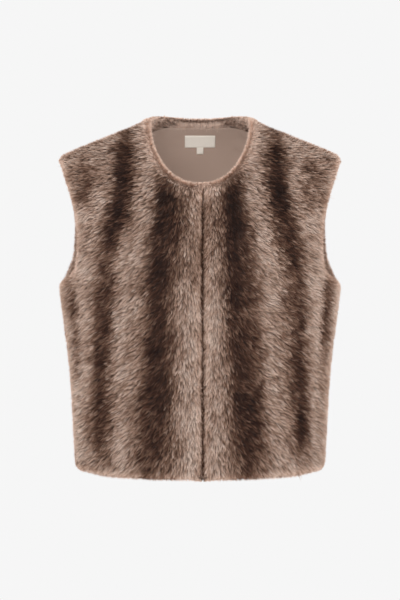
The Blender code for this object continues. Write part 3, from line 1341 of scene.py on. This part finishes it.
@dataclass(frozen=True)
class EaseFolds:
    """The lining's soft upright folds: wide ones that wander, and finer ones that slant.

    A pitch is in radians for each metre, and a span is where a change begins and where it ends.
    """

    depth: float = 0.0016
    wide_pitch: float = 95.0
    wander: float = 1.4
    wander_pitch: float = 9.0
    fine: float = 0.6
    fine_pitch: float = 171.0
    fine_slant: float = 14.0
    fine_start: float = 0.7
    below: Span = (-0.19, -0.11)
    above: Span = (-0.49, -0.43)
    off_seam: Span = (0.02, 0.05)

    def lay(self, mesh: bpy.types.Mesh) -> None:
        """Lays the folds into the lower part of a sheet.

        Args:
            mesh: the sheet's mesh.
        """
        points = np.empty(len(mesh.vertices) * 3, dtype=np.float32)
        mesh.vertices.foreach_get("co", points)
        points = points.reshape(-1, 3).astype(float)
        x, y, z = points.T
        wave = np.sin(x * self.wide_pitch + self.wander * np.sin(z * self.wander_pitch))
        wave += self.fine * np.sin(x * self.fine_pitch - z * self.fine_slant + self.fine_start)
        depth = self.depth * (1 - ease(*self.below, z)) * ease(*self.above, z)
        depth *= ease(*self.off_seam, np.abs(y))
        points[:, 1] -= np.sign(y) * depth * (1 + wave / (1 + self.fine)) / 2
        mesh.vertices.foreach_set("co", points.astype(np.float32).ravel())
        mesh.update()


@dataclass
class LiningPanel:
    """A lining panel: a smooth sheet with soft ease folds, and stitches along its edge."""

    node: str
    flat: Span
    area: float
    folds: EaseFolds = EaseFolds()
    smooth_steps: int = 2
    seam_gap: float = 0.0012
    seam_closed: float = 0.00025

    # The stitches: how far inside the edge they are, and their sizes.
    stitch_in: float = 0.0055
    stitch_length: float = 0.0024
    stitch_gap: float = 0.0012
    stitch_width: float = 0.0005
    stitch_off: float = 0.0001

    # How a stitch finds the sheet: the stretch of edge that gives its run, how much the width
    # counts on the way in to the wearer, how far in it looks from, how near the sheet has to be
    # there and face it, and how clear of the edge it has to lie.
    run_reach: float = 0.004
    width_counts: float = 0.4
    look_from: float = 0.004
    sheet_within: float = 0.0065
    sheet_facing: float = 0.3
    edge_clear: float = 0.004
    fewest_points: int = 3

    def build(
        self, node: bpy.types.Object, satin: bpy.types.Material, thread: bpy.types.Material
    ) -> bpy.types.Object:
        """Makes the panel and its stitches.

        Args:
            node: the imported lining.
            satin: the cloth's material.
            thread: the stitches' material.

        Returns:
            The cloth.
        """
        surface = NodeSurface(node)
        cloth = self._cloth(surface, satin)
        sewn = self._stitches(surface, cloth, thread)
        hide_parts(self.node)
        return cloth

    def _cloth(self, surface: NodeSurface, satin: bpy.types.Material) -> bpy.types.Object:
        """The smooth sheet, closed up at the seams, with its folds.

        Args:
            surface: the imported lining's surface.
            satin: the cloth's material.

        Returns:
            The cloth.
        """
        points = surface.points.copy()
        at_seam = np.abs(points[:, 1]) < self.seam_gap
        points[at_seam, 1] = np.sign(points[at_seam, 1]) * self.seam_closed
        coarse = mesh_of(f"{self.node}_coarse", points, surface.faces)
        holder = bpy.data.objects.new(coarse.name, coarse)
        bpy.context.scene.collection.objects.link(holder)
        holder.modifiers.new("smooth", "SUBSURF").levels = self.smooth_steps
        smooth = holder.evaluated_get(bpy.context.evaluated_depsgraph_get())
        mesh = bpy.data.meshes.new_from_object(smooth)
        mesh.name = f"cloth_{self.node}"
        bpy.data.objects.remove(holder)
        bpy.data.meshes.remove(coarse)
        self.folds.lay(mesh)
        return add_piece(mesh, satin)

    def _stitches(
        self, surface: NodeSurface, cloth: bpy.types.Object, thread: bpy.types.Material
    ) -> bpy.types.Object:
        """A row of small stitches along the free edges, on the side that shows.

        Args:
            surface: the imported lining's surface.
            cloth: the smooth sheet that the stitches lie on.
            thread: their material.

        Returns:
            The stitches, as one piece.
        """
        tree = tree_of(cloth)
        rows = []
        for line in self._edge_lines(surface):
            steps = np.concatenate(([0], np.cumsum(np.linalg.norm(np.diff(line, axis=0), axis=1))))
            places = np.arange(self.stitch_gap, steps[-1], self.stitch_length + self.stitch_gap)
            ahead = between(places + self.run_reach, steps, line)
            behind = between(places - self.run_reach, steps, line)
            runs = zip(between(places, steps, line), unit(ahead - behind))
            rows += [self._stitch(tree, place, run) for place, run in runs]
        points = np.concatenate([row for row in rows if row is not None])
        return add_piece(spindles(f"stitches_{self.node}", points), thread)

    def _stitch(self, tree: BVHTree, place: np.ndarray, along: np.ndarray) -> np.ndarray | None:
        """One stitch as a small spindle that lies on the sheet.

        Args:
            tree: the sheet's surface.
            place: a place on the sheet's edge.
            along: the way the edge runs there.

        Returns:
            The spindle's six points, or nothing where the sheet is too narrow.
        """
        edge, run = Vector(place), Vector(along)
        inwards = Vector((-place[0] * self.width_counts, -place[1], 0)).normalized()
        into = run.cross(inwards).normalized()
        for side in (1, -1):
            start = edge + into * self.stitch_in * side + inwards * self.look_from
            found, normal, _, distance = tree.find_nearest(start)
            on_sheet = distance < self.sheet_within and normal.dot(inwards) > self.sheet_facing
            if on_sheet and (found - edge).length > self.edge_clear:
                break
        else:
            return None
        middle = found + normal * self.stitch_off
        half = run * self.stitch_length / 2
        across = run.cross(normal).normalized() * self.stitch_width / 2
        lift = normal * self.stitch_width / 2
        return np.array([middle + step for step in (-half, half, across, lift, -across, -lift)])

    def _edge_lines(self, surface: NodeSurface) -> list[np.ndarray]:
        """The free edges of the sheet on the wearer's side.

        Args:
            surface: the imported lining's surface.

        Returns:
            Lines of points.
        """
        pairs = surface.free_edges()
        inner = ~surface.faces_out(surface.points, surface.normals)
        pairs = pairs[inner[pairs].all(axis=1)]
        ways: dict[int, list[int]] = {}
        for a, b in pairs.tolist():
            ways.setdefault(a, []).append(b)
            ways.setdefault(b, []).append(a)
        lines, seen = [], set()
        for start in sorted(ways, key=lambda k: len(ways[k])):
            if start in seen:
                continue
            line, here = [start], start
            seen.add(start)
            while ahead := [k for k in ways[here] if k not in seen]:
                here = ahead[0]
                seen.add(here)
                line.append(here)
            if len(line) >= self.fewest_points:
                lines.append(surface.points[line])
        return lines


@dataclass
class SewnTape:
    """A bare woven tape, laid on the back lining and sewn down."""

    name: str
    node: str
    flat: Span
    thick: float
    sewn_ends: bool
    cells: tuple[int, int]
    off: float = 0.0002
    edge_thick: float = 0.6
    look_from: float = -0.02

    # The stitches: how far inside the tape they begin and end, their spacing and half sizes.
    stitch_in: float = 0.0016
    stitch_top: float = 0.0012
    stitch_step: float = 0.0022
    stitch_half: float = 0.0008
    stitch_side: float = 0.0002

    def build(
        self,
        node: bpy.types.Object,
        lining: bpy.types.Object,
        woven: bpy.types.Material,
        thread: bpy.types.Material,
    ) -> None:
        """Makes the tape and, where it has them, the stitches at its ends.

        Args:
            node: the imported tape.
            lining: the lining that it lies on.
            woven: the tape's material.
            thread: the stitches' material.
        """
        tree, points = tree_of(lining), NodeSurface(node).points
        low, high = points.min(axis=0), points.max(axis=0)
        tape = self._tape(tree, low, high, woven)
        with_pieces = [self._ends(tree, low, high, thread)] if self.sewn_ends else []
        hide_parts(self.node)

    def _on_lining(self, tree: BVHTree, x: float, z: float, off: float) -> Place:
        """A place in front of the lining's inner side."""
        found = tree.ray_cast(Vector((x, self.look_from, z)), Vector((0, 1, 0)))[0]
        return (x, found.y - off, z)

    def _tape(
        self, tree: BVHTree, low: np.ndarray, high: np.ndarray, woven: bpy.types.Material
    ) -> bpy.types.Object:
        """The tape as a thin closed sheet with soft edges.

        Args:
            tree: the lining's surface.
            low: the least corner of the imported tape.
            high: its greatest corner.
            woven: the tape's material.

        Returns:
            The tape.
        """
        wide, tall = self.cells
        xs, zs = np.linspace(low[0], high[0], wide + 1), np.linspace(low[2], high[2], tall + 1)
        points = []
        for lift in (0.0, self.thick):
            for i, z in enumerate(zs):
                for j, x in enumerate(xs):
                    soft = self.edge_thick if i in (0, tall) or j in (0, wide) else 1.0
                    points.append(self._on_lining(tree, x, z, self.off + lift * soft))
        layer, row = (wide + 1) * (tall + 1), wide + 1
        faces = []
        for i in range(tall):
            for j in range(wide):
                k = i * row + j
                faces.append((k, k + row, k + row + 1, k + 1))
                faces.append((layer + k, layer + k + 1, layer + k + row + 1, layer + k + row))
        ring = list(range(wide)) + [i * row + wide for i in range(tall)]
        ring += [tall * row + j for j in range(wide, 0, -1)] + [i * row for i in range(tall, 0, -1)]
        faces += [(a, b, layer + b, layer + a) for a, b in zip(ring, ring[1:] + ring[:1])]
        return add_piece(mesh_of(self.name, np.array(points), np.array(faces)), woven)

    def _ends(
        self, tree: BVHTree, low: np.ndarray, high: np.ndarray, thread: bpy.types.Material
    ) -> bpy.types.Object:
        """A column of small stitches inside each end of the tape.

        Args:
            tree: the lining's surface.
            low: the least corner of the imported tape.
            high: its greatest corner.
            thread: the stitches' material.

        Returns:
            The stitches, as one piece.
        """
        run = Vector((0, 0, self.stitch_half))
        across, lift = Vector((self.stitch_side, 0, 0)), Vector((0, -self.stitch_side, 0))
        heights = np.arange(low[2] + self.stitch_in, high[2] - self.stitch_top, self.stitch_step)
        points = []
        for x in (low[0] + self.stitch_in, high[0] - self.stitch_in):
            for z in heights:
                middle = Vector(self._on_lining(tree, x, z, self.off + self.thick))
                points += [middle + step for step in (-run, run, across, lift, -across, -lift)]
        mesh = spindles(f"{self.name}_stitches", np.array(points))
        return add_piece(mesh, thread)


@dataclass(frozen=True)
class Lamp:
    """A soft square lamp: where it stands, its side in metres and its power in watts."""

    name: str
    place: Place
    size: float
    power: float

    def build(self, aim: Place) -> None:
        """Sets the lamp up.

        Args:
            aim: the place that it faces.
        """
        lamp = bpy.data.lights.new(self.name, "AREA")
        lamp.size = self.size
        lamp.energy = self.power
        placed = bpy.data.objects.new(self.name, lamp)
        placed.location = self.place
        way = Vector(aim) - Vector(self.place)
        placed.rotation_euler = way.to_track_quat("-Z", "Y").to_euler()
        bpy.context.scene.collection.objects.link(placed)


@dataclass
class Studio:
    """The camera, the pale floor and the soft light."""

    distance: float = 2.4
    height: float = -0.240
    lens: float = 90.0
    sensor: float = 36.0
    floor_z: float = -1.35
    floor_radius: float = 2.9
    floor_sides: int = 96
    floor_pale: float = 0.86
    floor_roughness: float = 0.9
    pale: float = 0.922
    glow: float = 1.0
    lamps: tuple[Lamp, ...] = (
        Lamp("key", place=(-0.9, -2.3, 1.1), size=1.6, power=34.0),
        Lamp("fill", place=(1.6, -1.9, 0.3), size=1.6, power=15.0),
    )

    def build(self) -> None:
        """Sets up the camera, the floor, the background and the lamps."""
        self._camera()
        self._floor()
        self._background()
        for lamp in self.lamps:
            lamp.build((0, 0, self.height))

    def _camera(self) -> None:
        """The photograph's view: level, straight at the front."""
        camera = bpy.data.cameras.new("camera")
        camera.sensor_fit = "VERTICAL"
        camera.sensor_height = self.sensor
        camera.lens = self.lens
        placed = bpy.data.objects.new("camera", camera)
        placed.location = (0, -self.distance, self.height)
        placed.rotation_euler = (math.pi / 2, 0, 0)
        bpy.context.scene.collection.objects.link(placed)
        bpy.context.scene.camera = placed

    def _floor(self) -> None:
        """A round pale floor, at the height of a wearer's feet."""
        made = bmesh.new()
        bmesh.ops.create_circle(
            made, cap_ends=True, segments=self.floor_sides, radius=self.floor_radius
        )
        mesh = bpy.data.meshes.new("floor")
        made.to_mesh(mesh)
        made.free()
        material, _, shader = new_material("floor")
        shader.inputs["Base Color"].default_value = (*[self.floor_pale] * 3, 1)
        shader.inputs["Roughness"].default_value = self.floor_roughness
        mesh.materials.append(material)
        floor = bpy.data.objects.new("floor", mesh)
        floor.location.z = self.floor_z
        bpy.context.scene.collection.objects.link(floor)

    def _background(self) -> None:
        """An even pale background, which also lights the vest from all sides."""
        world = bpy.data.worlds.new("studio")
        world.use_nodes = True
        shader = world.node_tree.nodes["Background"]
        shader.inputs["Color"].default_value = (*[self.pale] * 3, 1)
        shader.inputs["Strength"].default_value = self.glow
        bpy.context.scene.world = world
        bpy.context.scene.view_settings.view_transform = "Standard"


def main() -> None:
    """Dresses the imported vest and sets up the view."""
    logging.basicConfig(level=logging.INFO, format="%(message)s")
    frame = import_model()
    nodes = frame["nodes"]
    Studio().build()

    lining_panels = (
        LiningPanel("lining_front_left", flat=(0.25, 0.52), area=0.095),
        LiningPanel("lining_front_right", flat=(0.25, 0.52), area=0.095),
        LiningPanel("lining_back", flat=(0.50, 0.54), area=0.250),
    )
    fur_panels = (
        FurPanel(
            "front_left",
            pile_names=("pile_front_left",),
            flat=(0.29, 0.57),
            area=0.130,
            hair_count=196000,
            seed=11,
        ),
        FurPanel(
            "front_right",
            pile_names=("pile_front_right",),
            flat=(0.30, 0.57),
            area=0.134,
            hair_count=196000,
            seed=12,
        ),
        FurPanel(
            "back",
            pile_names=("pile_back_left", "pile_back_right"),
            flat=(0.58, 0.59),
            area=0.290,
            hair_count=384000,
            seed=13,
        ),
    )
    tapes = (
        SewnTape(
            "bare_label",
            node="neck_label",
            flat=(0.050, 0.018),
            thick=0.0007,
            sewn_ends=True,
            cells=(36, 14),
        ),
        SewnTape(
            "bare_tab",
            node="size_tab",
            flat=(0.011, 0.010),
            thick=0.0009,
            sewn_ends=False,
            cells=(8, 8),
        ),
    )

    linings = [NodeSurface(nodes[panel.node]) for panel in lining_panels]
    pile, wool = PileFinish().material(), UndercoatFinish().material()
    for panel in fur_panels:
        panel.build(nodes[panel.node], linings, pile, wool)
    satin = SatinFinish().material()
    seam_thread = WovenFinish("lining_thread", colour=(0.34, 0.27, 0.23)).material()
    cloths = {
        panel.node: panel.build(nodes[panel.node], satin, seam_thread) for panel in lining_panels
    }
    cream = WovenFinish("label_tape", colour=(0.97, 0.90, 0.80)).material()
    cream_thread = WovenFinish("label_thread", colour=(0.78, 0.73, 0.63)).material()
    for tape in tapes:
        tape.build(nodes[tape.node], cloths["lining_back"], cream, cream_thread)


if __name__ == "__main__":
    main()
